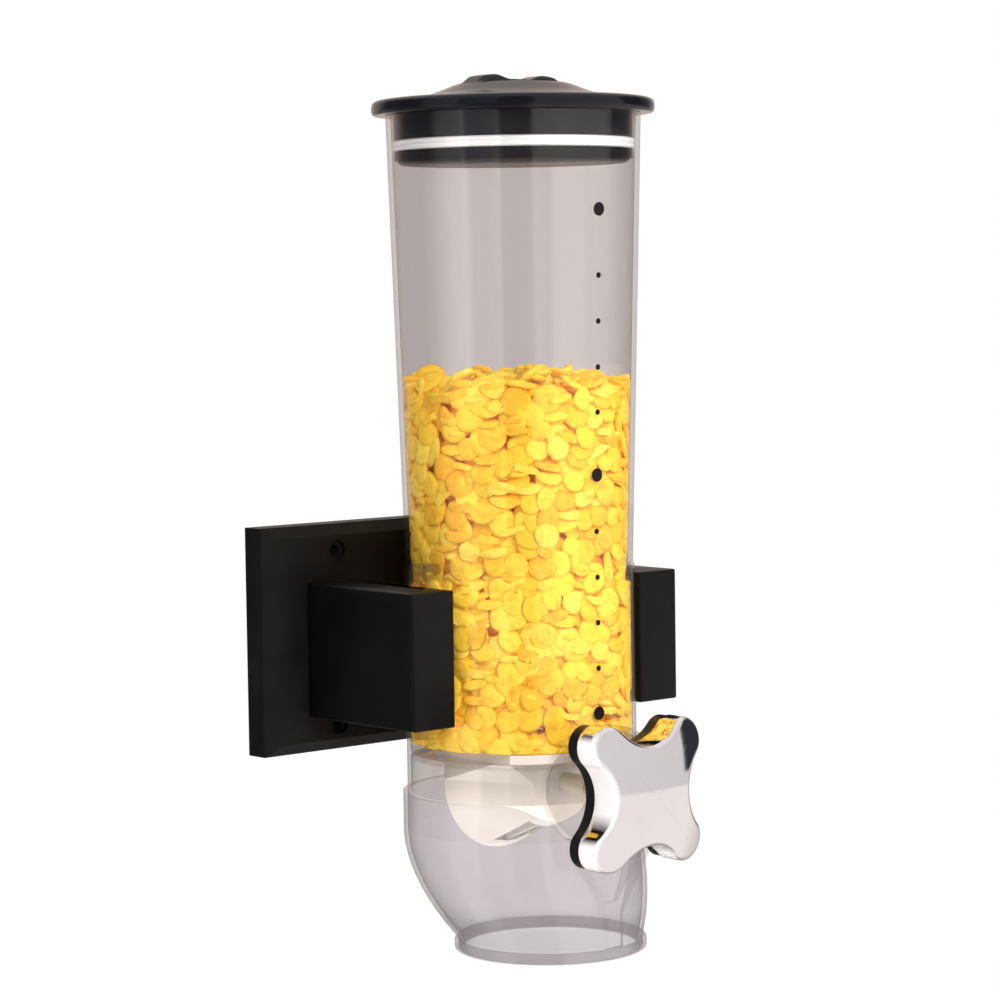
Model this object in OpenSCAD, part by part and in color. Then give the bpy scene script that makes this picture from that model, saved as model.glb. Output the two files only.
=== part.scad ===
// Wall-mounted rotary cereal dispenser: a bracket screwed to the wall, a clear
// canister that drops into the bracket, and a knob that turns a paddle wheel
// to let measured portions fall through the spout.
// Frame: origin at the centre of the bracket's back face, +Z up, +Y into the wall,
// so the front is -Y and the right is +X.

/* [Bracket] */
// Width of the wall plate
plate_w = 204; // [200:1:220]
// Height of the wall plate
plate_h = 103; // [100:1:120]
// Depth of the wall plate
plate_d = 15.5; // [14:0.1:15.5]
// Wall of the bracket mouldings
plate_wall = 2.6; // [2:0.1:3]
// Distance from the centre line to the inner face of each arm
arm_in = 55.5; // [55.3:0.1:56.5]
// Distance from the centre line to the outer face of each arm
arm_out = 79.5; // [78:0.5:84]
// Height of each arm
arm_h = 60.4; // [56:0.2:60.4]
// How far each arm reaches past the canister's centre line
arm_reach = 20; // [12:1:26]
// Half the distance between the wall screw columns
screw_x = 62; // [60:0.5:66]
// Half the distance between the wall screw rows
screw_z = 39.5; // [39:0.5:41]
// Radius of the wall screw holes
screw_r = 2.5; // [2:0.1:3]

/* [Canister] */
// Distance from the wall to the canister's centre line
axis_y = 70; // [70:0.5:74]
// Outer radius of the canister at its mouth
can_r_top = 57.2; // [56.8:0.1:58]
// Wall thickness of the canister
can_wall = 2.2; // [1.8:0.1:2.3]
// Height of the canister's mouth above the spout mouth
can_top = 374.3; // [374:0.1:374.4]

/* [Dispenser head] */
// Outer radius of the dispenser body
body_r = 52.2; // [51.9:0.1:52.5]
// Height of the dispenser body's top edge above the spout mouth
body_top = 171.9; // [171:0.1:171.9]
// Height of the knob's axis above the spout mouth
knob_z = 76; // [75.5:0.5:76.5]
// Radius of the paddle wheel at its large rear end
wheel_r = 31.4; // [30:0.1:31.6]
// Number of paddles
paddles = 6; // [5:1:8]
// Thickness of a paddle
paddle_t = 2.2; // [1.6:0.1:3]
// Half width of the four-lobed knob
knob_half = 32; // [31:0.5:33]

/* [Lid] */
// Outer radius of the lid's rim
lid_r = 63.6; // [62:0.1:65]
// Radius of the plug that enters the canister
plug_r = 53.6; // [53:0.1:53.8]
// Height of the dome above the rim
dome_h = 8.4; // [7:0.1:9]

/* [Hidden] */
$fn = 128;

// Colours used by more than one node
black = [0.05, 0.05, 0.055];
arm_black = [0.06, 0.06, 0.065];
clear = [0.88, 0.88, 0.9, 0.3];
cream = [0.95, 0.93, 0.86];
steel = [0.6, 0.6, 0.62];

// Sizes shared between sections; heights are above the spout mouth
base_z = -140;                    // spout mouth, from the plate's centre
arm_z = 135.35;                   // centre of the arms
arm_low = arm_z - arm_h / 2;
arm_high = arm_z + arm_h / 2;
arm_mid = (arm_in + arm_out) / 2;
arm_back = axis_y - plate_d;      // canister axis to the plate's front face
arm_screw_pitch = 37.7;
arm_screw_z = [arm_z - arm_screw_pitch / 2, arm_z + arm_screw_pitch / 2];
rail_w = 7.5;                     // width of the rail that runs in each arm
rail_out = 59.6;                  // outer face of the rail
rail_low = 98;                    // lower end of the rail
body_in = body_r - 1.6;           // bore of the dispenser body
front_root = 40;                  // start of the features on the body's front
boss_front = 62.5;                // front face of the shaft boss
house_r = 28;                     // radius of the round housing behind the knob
hop_back = 12;                    // inside of the hopper behind the axis
hop_front = 26;                   // inside of the hopper in front of the axis
hop_len = hop_back + hop_front;
hop_r = wheel_r + 1.1;            // inside radius of the trough at its rear end
hop_tip = 16.2;                   // inside radius of the trough at its front end
spout_y = -18;                    // centre of the spout, forward of the axis
spout_r = 41.6;
spout_h = 5;                      // straight part of the spout
front_bush_r = 8;
rear_bush_r = 7;
seal_r = 6.5;                     // neck of the shaft seal
shaft_r = 4;
core_r = 8;                       // hexagonal wheel core, across corners
cut = 1;                          // how far a cut runs past a face

function lerp(from, to, t) = from + (to - from) * t;
function smooth(t) = t <= 0 ? 0 : t >= 1 ? 1 : t * t * (3 - 2 * t);

// x and y from the canister's axis, z from the spout mouth
module on_axis() translate([0, -axis_y, base_z]) children();

// x and z from the drive shaft's axis, y from the canister's axis plus the given offset
module on_shaft(y = 0) on_axis() translate([0, y, knob_z]) children();

// a cylinder or cone along -Y, starting at y = 0
module forward(radius, length, tip_radius = undef)
    rotate([90, 0, 0])
        cylinder(r1 = radius, r2 = is_undef(tip_radius) ? radius : tip_radius, h = length);

// a pair of boxes, left and right; corner is [inner x, y, z] of the right one
module side_boxes(corner, size)
    for (side = [-1, 1])
        translate([side > 0 ? corner[0] : -corner[0] - size[0], corner[1], corner[2]])
            cube(size);

module at_wall_screws()
    for (x = [-1, 1], z = [-1, 1]) translate([x * screw_x, 0, z * screw_z]) children();

module at_arm_screws()
    for (side = [-1, 1], z = arm_screw_z) translate([side * arm_mid, 0, z]) children();

// ---------- bracket ----------

plate_edge = 11.6;                // straight part of the plate's edge
bevel_x = 8;                      // bevel inset on the left and right edges
bevel_z = 5;                      // bevel inset on the top and bottom edges
pad_len = plate_d - 1;            // length of the plate's bosses and pad
rib_t = 1.8;                      // thickness of the plate's ribs

// back face on y = 0, front face on y = -depth
module bevelled_block(width, height, depth, edge) {
    half_w = width / 2;
    half_h = height / 2;
    intersection() {
        translate([0, 0, -half_h]) linear_extrude(height)
            polygon([[-half_w, 0], [half_w, 0], [half_w, -edge], [half_w - bevel_x, -depth],
                     [-half_w + bevel_x, -depth], [-half_w, -edge]]);
        translate([-half_w, 0, 0]) rotate([90, 0, 90]) linear_extrude(width)
            polygon([[0, -half_h], [0, half_h], [-edge, half_h], [-depth, half_h - bevel_z],
                     [-depth, -half_h + bevel_z], [-edge, -half_h]]);
    }
}

// plate, open at the back
module plate_shell() difference() {
    bevelled_block(plate_w, plate_h, plate_d, plate_edge);
    translate([0, cut, 0])
        bevelled_block(plate_w - 2 * plate_wall, plate_h - 2 * plate_wall,
                       plate_d - plate_wall + cut, plate_edge - plate_wall / 2 + cut);
}

// stiffening ribs, flush with the back face
module plate_ribs() intersection() {
    bevelled_block(plate_w - 1, plate_h - 1, plate_d - 0.5, plate_edge);
    union() {
        for (x = [-45, -15, 15, 45])
            translate([x - rib_t / 2, -plate_d, -plate_h / 2]) cube([rib_t, plate_d, plate_h]);
        for (z = [-26, 26])
            translate([-plate_w / 2, -plate_d, z - rib_t / 2]) cube([plate_w, plate_d - 6, rib_t]);
    }
}

module wall_plate() color(black) difference() {
    union() {
        plate_shell();
        at_wall_screws() forward(7, pad_len);
        plate_ribs();
        // centre pad that bears on the wall
        forward(12, pad_len);
    }
    // wall screw holes, counterbored at the front
    at_wall_screws() translate([0, cut, 0]) {
        forward(screw_r, plate_d + 2);
        translate([0, -plate_d + 1, 0]) forward(4.8, 3);
    }
    // clearance for the arm screws and their heads
    translate([0, cut, base_z]) at_arm_screws() {
        forward(1.75, plate_d + 2);
        forward(4.4, plate_d - plate_wall + cut);
    }
}

arm_wall = 2.4;
arm_w = arm_out - arm_in;
arm_len = arm_reach + arm_back;
groove_w = rail_w + 1;
groove_out = rail_out + 0.8;
arm_boss_len = 16;
flange_t = 2;                     // thickness of the arm's rear flange
flange_w = 7;                     // width of the arm's rear flange

// space inside the right arm, open at the back
module arm_hollow() difference() {
    translate([arm_in + arm_wall, -arm_reach + arm_wall, arm_low + arm_wall])
        cube([arm_w - 2 * arm_wall, arm_len, arm_h - 2 * arm_wall]);
    // channel wall round the groove
    translate([arm_in, -groove_w / 2 - arm_wall, arm_low])
        cube([groove_out - arm_in + arm_wall, groove_w + 2 * arm_wall, arm_h]);
    // screw bosses, tied to the outer wall
    for (z = arm_screw_z) {
        translate([arm_mid, arm_back, z]) forward(4.2, arm_boss_len);
        translate([arm_mid, arm_back - arm_boss_len, z - 1]) cube([arm_w / 2, arm_boss_len, 2]);
    }
    translate([arm_in, arm_back - flange_t, arm_low]) difference() {
        cube([arm_w, flange_t, arm_h]);
        translate([flange_w, -cut, flange_w])
            cube([arm_w - 2 * flange_w, flange_t + 2 * cut, arm_h - 2 * flange_w]);
    }
}

// right-hand arm, in canister coordinates
module arm() difference() {
    translate([arm_in, -arm_reach, arm_low]) cube([arm_w, arm_len, arm_h]);
    arm_hollow();
    // groove for the body's rail
    translate([arm_in - cut, -groove_w / 2, arm_low - cut])
        cube([groove_out - arm_in + cut, groove_w, arm_h + 2 * cut]);
    for (z = arm_screw_z) translate([arm_mid, arm_back + cut, z]) forward(1.55, 14);
}

module right_arm() color(arm_black) on_axis() arm();

module left_arm() color(arm_black) on_axis() mirror([1, 0, 0]) arm();

shank_r = 1.45;
shank_len = 12;
slot_w = 0.8;                     // cross recess in the screw head
slot_len = 4.8;

// y = 0 is the face the head bears on
module arm_screw() {
    difference() {
        translate([0, 2.4, 0]) forward(3.4, 2.35);
        translate([-slot_w / 2, 1.2, -slot_len / 2]) cube([slot_w, 3, slot_len]);
        translate([-slot_len / 2, 1.2, -slot_w / 2]) cube([slot_len, 3, slot_w]);
    }
    translate([0, 0.1, 0]) forward(shank_r, shank_len);
    translate([0, 0.1 - shank_len, 0]) forward(shank_r, 2.2, 0.3);
}

module arm_screws() color([0.7, 0.7, 0.72]) on_axis()
    translate([0, arm_back + plate_wall, 0]) at_arm_screws() arm_screw();

// ---------- canister ----------

can_low = 172;                    // foot of the tapered wall, above the dispenser body
can_r_low = body_r - 0.7;         // outer radius at can_low
can_gauge_z = 370;                // height at which the outer radius is can_r_top
spigot_z = 163.5;                 // lower end of the tube's spigot, inside the body
spigot_r = body_in - 0.15;

function can_r(z) =
    can_r_low + (can_r_top - can_r_low) * (z - can_low) / (can_gauge_z - can_low);

module canister_tube() color([0.86, 0.87, 0.87, 0.3]) on_axis() rotate_extrude()
    polygon([
        // outside, upwards
        [spigot_r, spigot_z], [spigot_r, can_low],
        [can_r_low, can_low], [can_r(can_top), can_top],
        // inside, downwards
        [can_r(can_top) - can_wall, can_top], [can_r(176) - can_wall, 176],
        [spigot_r - can_wall, 167], [spigot_r - can_wall, spigot_z]]);

mark_gap = 0.02;                  // between the marks and the wall under them
mark_out = 0.3;                   // outer face of the marks, from that wall
tube_marks = [174, 345];          // lower and upper limits of the marks on the tube

// rods through the front wall, at the heights of the large and small dots
module mark_rods(large, small) {
    for (z = large) translate([0, -front_root, z]) forward(3, 30);
    for (z = small) translate([0, -front_root, z]) forward(1.25, 30);
}

module level_marks() color([0.05, 0.04, 0.04]) on_axis() {
    low = tube_marks[0];
    high = tube_marks[1];
    intersection() {
        rotate_extrude()
            polygon([[can_r(low) + mark_gap, low], [can_r(high) + mark_gap, high],
                     [can_r(high) + mark_out, high], [can_r(low) + mark_out, low]]);
        mark_rods([331, 214.5], [302.2, 282.1, 262, 242.2, 189.6]);
    }
    intersection() {
        rotate_extrude() translate([body_r + mark_gap, 98]) square([mark_out - mark_gap, 73.8]);
        mark_rods([109], [169.3, 149.2, 129]);
    }
}

// ---------- dispenser body ----------

body_low = 53;
house_wall = 2;
house_len = boss_front - front_root;
rail_root = body_r - 0.7;         // inner face of the rail, sunk into the body's wall
stop_low = arm_high + 0.15;       // underside of the stop that sits on the arm
stop_high = 176;
stop_w = 11;

// shelf that carries the hopper, with an opening for the trough and its collar
module hopper_shelf() difference() {
    translate([0, 0, 85.4]) cylinder(r = body_in + 0.5, h = 2.4);
    translate([-hop_r - 2.4, -hop_front - 2.2, 80]) cube([2 * hop_r + 4.8, hop_len + 4.4, 12]);
    translate([-7, hop_back, 80]) cube([14, 7.3, 12]);
}

// round housing behind the knob, with the shaft boss inside it
module knob_housing() difference() {
    translate([0, -front_root, knob_z]) {
        difference() {
            forward(house_r, house_len);
            forward(house_r - house_wall, house_len - house_wall);
        }
        forward(12.5, house_len);
    }
    translate([0, 0, 40]) cylinder(r = body_in, h = 80);
}

module dispenser_body() color(clear) on_axis() difference() {
    union() {
        rotate_extrude() translate([body_in, body_low])
            square([body_r - body_in, body_top - body_low]);
        hopper_shelf();
        knob_housing();
        // rails and their stops
        side_boxes([rail_root, -rail_w / 2, rail_low], [rail_out - rail_root, rail_w, 70]);
        side_boxes([rail_root, -stop_w / 2, stop_low],
                   [rail_out - rail_root, stop_w, stop_high - stop_low]);
    }
    // front bushing
    translate([0, -front_root, knob_z]) forward(front_bush_r + 0.05, 40);
    // clears the stops from the space above the body's top edge
    translate([0, 0, body_top]) cylinder(r = body_r - 0.2, h = 10);
    // notch in the outer face of each stop
    side_boxes([rail_out - 2.6, -3.4, 168.5], [3.6, 6.8, 10]);
}

// ---------- metering hopper ----------

hop_wall = 1.8;
trough_wall_back = 2.2;           // trough wall at its rear end
trough_wall_front = 1.2;          // trough wall at its front end
hop_flange_x = 37;                // the flange is cut flat at the sides
hop_flange_z = 88;
hop_flange_h = 4.1;
flange_reach = 60;                // flange blank forward of the axis

// funnel between the flange and the tapered trough, grown by a wall
module funnel(wall, top) hull() {
    back_half = hop_r + (wall > 0 ? trough_wall_back : 0);
    front_half = hop_tip + (wall > 0 ? trough_wall_front : 0);
    translate([-hop_r - wall, -hop_front - wall, 89])
        cube([2 * (hop_r + wall), hop_len + 2 * wall, top - 89]);
    translate([0, 0, knob_z]) linear_extrude(0.5)
        polygon([[-back_half, hop_back + wall], [back_half, hop_back + wall],
                 [front_half, -hop_front - wall], [-front_half, -hop_front - wall]]);
}

// flange that rests on the body's shelf
module hopper_flange() translate([0, 0, hop_flange_z]) intersection() {
    cylinder(r = body_in - 0.25, h = hop_flange_h);
    translate([-hop_flange_x, -flange_reach, 0])
        cube([2 * hop_flange_x, flange_reach + hop_back + 4, hop_flange_h]);
}

// recess in the flange that leaves a raised rim
module flange_recess() translate([0, 0, hop_flange_z + 1.8]) intersection() {
    cylinder(r = body_in - 2, h = 3);
    translate([-hop_flange_x + 1.5, -flange_reach, 0])
        cube([2 * hop_flange_x - 3, flange_reach + hop_back + 2.4, 4]);
}

module metering_hopper() color([0.93, 0.92, 0.9]) on_axis() difference() {
    union() {
        hopper_flange();
        // tapered trough round the lower half of the wheel
        translate([0, hop_back + hop_wall, knob_z])
            forward(hop_r + trough_wall_back, hop_len + 2 * hop_wall, hop_tip + trough_wall_front);
        funnel(hop_wall, 90);
        // collar behind the trough for the rear bushing
        translate([0, hop_back + 7, knob_z]) forward(10.2, 7);
    }
    translate([0, 0, 92.2]) cylinder(r = 120, h = 60);
    translate([0, hop_back, knob_z]) forward(hop_r, hop_len, hop_tip);
    funnel(0, 96);
    flange_recess();
    // outlet
    translate([-12, -hop_front + 8, 30]) cube([24, hop_len - 11, 31]);
    // shaft seal and rear bushing
    translate([0, -hop_front + 4, knob_z]) forward(seal_r + 0.1, 12);
    translate([0, hop_back + 5.6, knob_z]) forward(rear_bush_r + 0.05, 10);
}

bush_bore = shaft_r + 0.06;

module front_bushing() color(cream) on_shaft() difference() {
    union() {
        translate([0, -50.5, 0]) forward(front_bush_r, boss_front - 50.4);
        translate([0, -boss_front - 0.05, 0]) forward(10.5, 1.8);
    }
    translate([0, -front_root, 0]) forward(bush_bore, 40);
}

module rear_bushing() color(cream) on_shaft(hop_back) difference() {
    translate([0, 5.5, 0]) forward(rear_bush_r, 5.4);
    translate([0, 4, 0]) forward(bush_bore, 10);
}

module shaft_seal() color([0.82, 0.84, 0.85]) on_shaft(-hop_front) difference() {
    union() {
        translate([0, -0.05, 0]) forward(seal_r, 1.8);
        translate([0, -1.85, 0]) forward(8.6, 1.5);
    }
    translate([0, 5, 0]) forward(bush_bore, 12);
}

// ---------- lower bowl ----------

bowl_rim = 70;                    // top of the lower bowl
bowl_bend = 50;                   // top of the curved part; straight above
bowl_wall = 2;
bowl_big = body_r + 2;            // lower bowl round the dispenser body
bowl_bore = body_r + 0.12;        // fit round the dispenser body
bowl_sides = 72;
bowl_curve = [for (i = [0:10]) lerp(spout_h, bowl_bend, i / 10)];

// 0 at the bend, 1 at the spout
function bowl_drop(z) = z >= bowl_bend ? 0 : (bowl_bend - z) / (bowl_bend - spout_h);
function bowl_r(z) = bowl_big - (bowl_big - spout_r) * pow(bowl_drop(z), 2.2);
function bowl_y(z) = spout_y * pow(bowl_drop(z), 1.35);
function ring(radius, y, z) =
    [for (k = [0:bowl_sides - 1])
        [radius * cos(360 * k / bowl_sides), y + radius * sin(360 * k / bowl_sides), z]];

// a closed stack of rings, bottom to top
module stack(rings) {
    count = len(rings);
    polyhedron(
        points = [for (points = rings) each points],
        faces = concat(
            [[for (k = [0:bowl_sides - 1]) k]],
            [for (j = [0:count - 2], k = [0:bowl_sides - 1])
                let (low = j * bowl_sides, high = low + bowl_sides, next = (k + 1) % bowl_sides)
                each [[low + k, high + k, low + next], [low + next, high + k, high + next]]],
            [[for (k = [bowl_sides - 1:-1:0]) (count - 1) * bowl_sides + k]]));
}

module bowl_outside() stack(concat(
    [ring(spout_r, spout_y, 0)],
    [for (z = bowl_curve) ring(bowl_r(z), bowl_y(z), z)],
    [ring(bowl_r(bowl_rim), bowl_y(bowl_rim), bowl_rim)]));

module bowl_inside() stack(concat(
    [ring(spout_r - bowl_wall, spout_y, -cut)],
    [for (z = bowl_curve) if (z < bowl_bend) ring(bowl_r(z) - bowl_wall, bowl_y(z), z)],
    [ring(bowl_big - bowl_wall, 0, 50.2),
     ring(bowl_bore, 0, 52.6),
     ring(bowl_bore, 0, bowl_rim + cut)]));

// the rim drops at the front to meet the round housing; left half of the dip as [x, z]
dip_z = 63;
dip_half = 41;
dip_steps = 12;
dip = [for (i = [0:dip_steps])
    [lerp(-dip_half, -25, i / dip_steps), lerp(bowl_rim + 0.01, dip_z, smooth(i / dip_steps))]];

module rim_dip() rotate([90, 0, 0]) linear_extrude(50)
    polygon(concat(dip,
                   [for (i = [dip_steps:-1:0]) [-dip[i][0], dip[i][1]]],
                   [[dip_half, 90], [-dip_half, 90]]));

chin_half = 19.5;                 // half width of the chin under the shaft boss
chin_front = 64;
rib_half = 4.5;                   // half width of the rib
rib_front = 61.2;

// chin that cradles the round housing and narrows to a rib down the front of the spout
module chin(inset) hull() {
    translate([-chin_half + inset, -chin_front + inset, 48])
        cube([2 * (chin_half - inset), 20, 14 - inset]);
    translate([-rib_half + inset, -rib_front + inset, 20 + 3 * inset])
        cube([2 * (rib_half - inset), 12, 2]);
}

module lower_bowl() color(clear) on_axis() difference() {
    union() {
        bowl_outside();
        chin(0);
        translate([-rib_half, -rib_front, 5.4]) cube([2 * rib_half, 10, 18]);
    }
    chin(1.8);
    bowl_inside();
    translate([0, -20, 0]) rim_dip();
    // seat round the housing
    translate([0, -20, knob_z]) forward(house_r + 0.25, 50);
}

module spout_ring() color([0.86, 0.86, 0.89, 0.35]) on_axis()
    translate([0, spout_y, 0]) rotate_extrude()
        polygon([[spout_r + 0.08, 0], [spout_r + 1.3, 0], [spout_r + 1.8, 0.7],
                 [spout_r + 1.8, 4], [spout_r + 1.1, spout_h], [spout_r + 0.08, spout_h]]);

// ---------- shaft and wheel ----------

shaft_back = hop_back + 3.8;      // rear end of the shaft, behind the axis
shaft_front = 80.5;               // front end of the shaft, forward of the axis
ring_y = -48.2;                   // rear face of the retaining ring's groove
ring_root = 3.4;                  // radius at the bottom of that groove
clip_y = -77.7;                   // rear face of the knob clip's groove
clip_root = 2.9;                  // radius at the bottom of that groove

module shaft_groove(y, root) translate([0, y, 0]) difference() {
    forward(6, 1);
    forward(root, 1);
}

module drive_shaft() color(cream) on_shaft() difference() {
    translate([0, shaft_back, 0]) forward(shaft_r, shaft_back + shaft_front);
    // flats that drive the knob
    side_boxes([3.2, -82, -5], [3, 13.4, 10]);
    shaft_groove(ring_y, ring_root);
    shaft_groove(clip_y, clip_root);
}

// a ring in a shaft groove, with a gap at the top
module split_ring(groove_y, root, outer, gap) on_shaft(groove_y - 0.1) difference() {
    forward(outer, 0.8);
    translate([0, cut, 0]) forward(root + 0.05, 3);
    translate([-gap / 2, -2, 0]) cube([gap, 4, 8]);
}

module retaining_ring() color(steel) split_ring(ring_y, ring_root, outer = 6.4, gap = 4.4);

module knob_clip() color(steel) split_ring(clip_y, clip_root, outer = 5.2, gap = 3.6);

core_gap = 0.6;                   // between the core's ends and the hopper
wheel_gap = 0.9;                  // between the paddles' ends and the hopper
taper = (hop_r - hop_tip) / hop_len;

module wheel_core() color([0.82, 0.82, 0.8]) on_shaft() difference() {
    translate([0, hop_back - core_gap, 0]) rotate([90, 0, 0])
        cylinder(r = core_r, h = hop_len - 2 * core_gap, $fn = 6);
    translate([0, hop_back + 1, 0]) forward(shaft_r + 0.05, hop_len + 3);
}

module wheel_outline() difference() {
    union() {
        circle(11);
        intersection() {
            circle(wheel_r);
            for (k = [0:paddles - 1])
                rotate(360 / paddles * k + 30) translate([9, -paddle_t / 2])
                    square([wheel_r, paddle_t]);
        }
    }
    circle(core_r + 0.05, $fn = 6);
}

module paddle_wheel() color([0.93, 0.94, 0.93]) on_shaft(hop_back - wheel_gap) difference() {
    rotate([90, 0, 0]) linear_extrude(hop_len - 2 * wheel_gap) wheel_outline();
    // the paddles narrow towards the front with the trough
    difference() {
        translate([0, 1, 0]) forward(wheel_r + 10, hop_len + 0.2);
        translate([0, 2, 0])
            forward(wheel_r + 2 * taper, hop_len + 2.2, wheel_r - (hop_len + 0.2) * taper);
    }
}

// ---------- knob ----------

knob_back = 66.5;                 // back face of the knob
knob_front = 89;                  // crown of the knob
base_t = 6;                       // thickness of the knob's black base
hub_r = 8.6;
lobe_r = 9.5;
lobe_at = knob_half - lobe_r;     // lobe centres, in x and in y
scallop_at = 42.8 * knob_half / 32;  // scallop centres, from the knob's axis
lobe_to_scallop = norm([lobe_at, scallop_at - lobe_at]);  // lobe radius plus scallop radius

// four-lobed outline, centred
module lobes(inset) {
    radius = lobe_r - inset;
    // corner of the middle polygon, near where lobe and scallop meet
    near = lobe_at - radius * lobe_at / lobe_to_scallop + 2;
    far = lobe_at + radius * (scallop_at - lobe_at) / lobe_to_scallop + 0.25;
    difference() {
        union() {
            polygon([[-near, far], [near, far], [far, near], [far, -near],
                     [near, -far], [-near, -far], [-far, -near], [-far, near]]);
            for (x = [-lobe_at, lobe_at], y = [-lobe_at, lobe_at])
                translate([x, y]) circle(radius);
        }
        for (angle = [0:90:270])
            rotate(angle) translate([0, scallop_at]) circle(lobe_to_scallop - radius + 0.05);
    }
}

// the outline extruded along -Y from y
module lobe_block(inset, length, y = 0)
    translate([0, y, 0]) rotate([90, 0, 0]) linear_extrude(length) lobes(inset);

module knob_base() color(black) on_shaft(-knob_back) difference() {
    union() {
        lobe_block(0.5, base_t - 0.05);
        // raised part that enters the shell
        lobe_block(2.6, 3, y = -base_t + 0.15);
        forward(hub_r, 11);
    }
    // hollow inside the lobes
    difference() {
        lobe_block(4.4, 9, y = -2.2);
        translate([0, -1.2, 0]) forward(hub_r, 12);
    }
    // shaft hole, with flats
    difference() {
        translate([0, cut, 0]) forward(shaft_r + 0.08, 20);
        side_boxes([3.28, -20, -6], [4, 17.6, 12]);
    }
}

knob_dome = 140;                  // radius of the knob's domed face
dome_half = 46;                   // how far the dome's profile runs from the axis
dome_steps = 12;
// the dome's profile as [radius, height], crown at height 0
dome_line = [for (i = [0:dome_steps])
    let (x = dome_half * i / dome_steps) [x, sqrt(knob_dome * knob_dome - x * x) - knob_dome]];

// the space in front of the domed face, crown at y = 0
module dome_front(depth) rotate([90, 0, 0]) rotate_extrude()
    polygon(concat(dome_line, [[dome_half, depth], [0, depth]]));

// the blank behind the domed face, crown at y = 0
module dome_back(depth) rotate([90, 0, 0]) rotate_extrude()
    polygon(concat([[0, -depth], [dome_half, -depth]],
                   [for (i = [dome_steps:-1:0]) dome_line[i]]));

module knob_shell() color([0.82, 0.83, 0.85]) on_shaft() {
    difference() {
        lobe_block(0, 20, y = -knob_back - base_t);
        translate([0, -knob_front, 0]) dome_front(6);
        intersection() {
            lobe_block(2.4, 24, y = -knob_back);
            translate([0, -knob_front + 2.2, 0]) dome_back(22);
        }
    }
    // ring inside the crown, round the end of the shaft
    translate([0, -knob_front + 8, 0]) difference() {
        forward(8.5, 6.4);
        translate([0, cut, 0]) forward(6.3, 9);
    }
}

// ---------- lid ----------

rim_z = 374.6;                    // underside of the rim
seal_low = 358.4;                 // seal groove round the plug
seal_high = 363.4;
dome_foot = 383.2;
lid_top = 381.8 + dome_h;
cover_bore = plug_r - 5.2;
plug_bore = plug_r - 7.7;

module cover_blank() rotate_extrude() polygon([
    // plug and seal groove
    [0, seal_low + 0.6], [plug_r - 2.6, seal_low + 0.6],
    [plug_r - 2.6, seal_high], [plug_r, seal_high],
    // rim
    [plug_r + 0.3, rim_z], [lid_r - 1, rim_z], [lid_r, rim_z + 1.4],
    [lid_r - 0.4, rim_z + 4.6], [lid_r - 2.4, rim_z + 6.4],
    // dome
    [44, 382.4], [38, dome_foot], [30, lerp(dome_foot, lid_top, 0.62)],
    [20, lerp(dome_foot, lid_top, 0.9)], [10, lid_top - 0.1], [0, lid_top]]);

bar_w = 12;

// grip bar with raised ends; outline as [x, z]
module grip_bar() translate([0, bar_w / 2, 0]) rotate([90, 0, 0]) linear_extrude(bar_w)
    polygon([[-27, 384], [-24, 390.4], [-19.5, 392.4], [-15, 392.4], [-9, 390.9], [-3, 390],
             [3, 390], [9, 390.9], [15, 392.4], [19.5, 392.4], [24, 390.4], [27, 384]]);

// finger wells either side of the bar
module finger_wells() difference() {
    rotate_extrude()
        polygon([[0, 385.6], [20, 385.6], [22, 386.4], [23.5, 388], [25, 396], [0, 396]]);
    translate([-30, -bar_w / 2, 380]) cube([60, bar_w, 20]);
}

module lid_cover() color(black) on_axis() difference() {
    union() {
        cover_blank();
        grip_bar();
    }
    finger_wells();
    // hollow underside
    translate([0, 0, seal_low - 1]) cylinder(r = cover_bore, h = 22);
    translate([0, 0, seal_low + 20]) cylinder(r1 = cover_bore, r2 = 22, h = 2.2);
}

// seal with two lips
module lid_seal() color([0.86, 0.9, 0.92]) on_axis() rotate_extrude() polygon([
    [plug_r - 2.5, seal_low + 0.1], [plug_r - 0.2, seal_low + 0.1],
    [54.62, seal_low + 0.9], [54.62, seal_low + 1.5],
    [plug_r - 0.1, seal_low + 2.3], [plug_r - 0.1, seal_low + 2.7],
    [54.66, seal_low + 3.5], [54.66, seal_low + 4.1],
    [plug_r - 0.2, seal_high - 0.1], [plug_r - 2.5, seal_high - 0.1]]);

module lid_plug() color(black) on_axis() {
    difference() {
        rotate_extrude()
            polygon([[0, 352.6], [plug_r - 3, 352.6], [plug_r - 1.6, 353.4],
                     [plug_r - 1.6, 354.4], [plug_r, 354.4], [plug_r, seal_low], [0, seal_low]]);
        translate([0, 0, 354.8]) cylinder(r = plug_bore, h = 10);
    }
    // snap ring that grips the cover
    rotate_extrude() translate([plug_bore, 356]) square([2.3, 6]);
}

wall_plate();
left_arm();
right_arm();
arm_screws();
canister_tube();
level_marks();
dispenser_body();
metering_hopper();
front_bushing();
rear_bushing();
shaft_seal();
lower_bowl();
spout_ring();
drive_shaft();
retaining_ring();
wheel_core();
paddle_wheel();
knob_base();
knob_shell();
knob_clip();
lid_cover();
lid_seal();
lid_plug();
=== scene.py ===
# A wall-mounted cereal dispenser: a clear canister under a black lid, held between two bracket
# arms, with a white hopper and paddle wheel in the clear body below and a chrome knob.
# +Z is up. The canister axis is vertical at x = 0, y = AXIS_Y. The knob faces -Y, the wall is
# at +Y and the right arm is at +X. CAD boxes and the scene are in metres; shapes are drawn in
# millimetres, with heights measured up from the spout mouth.
import math

import bpy
import numpy as np
from mathutils import Matrix, Vector


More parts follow.
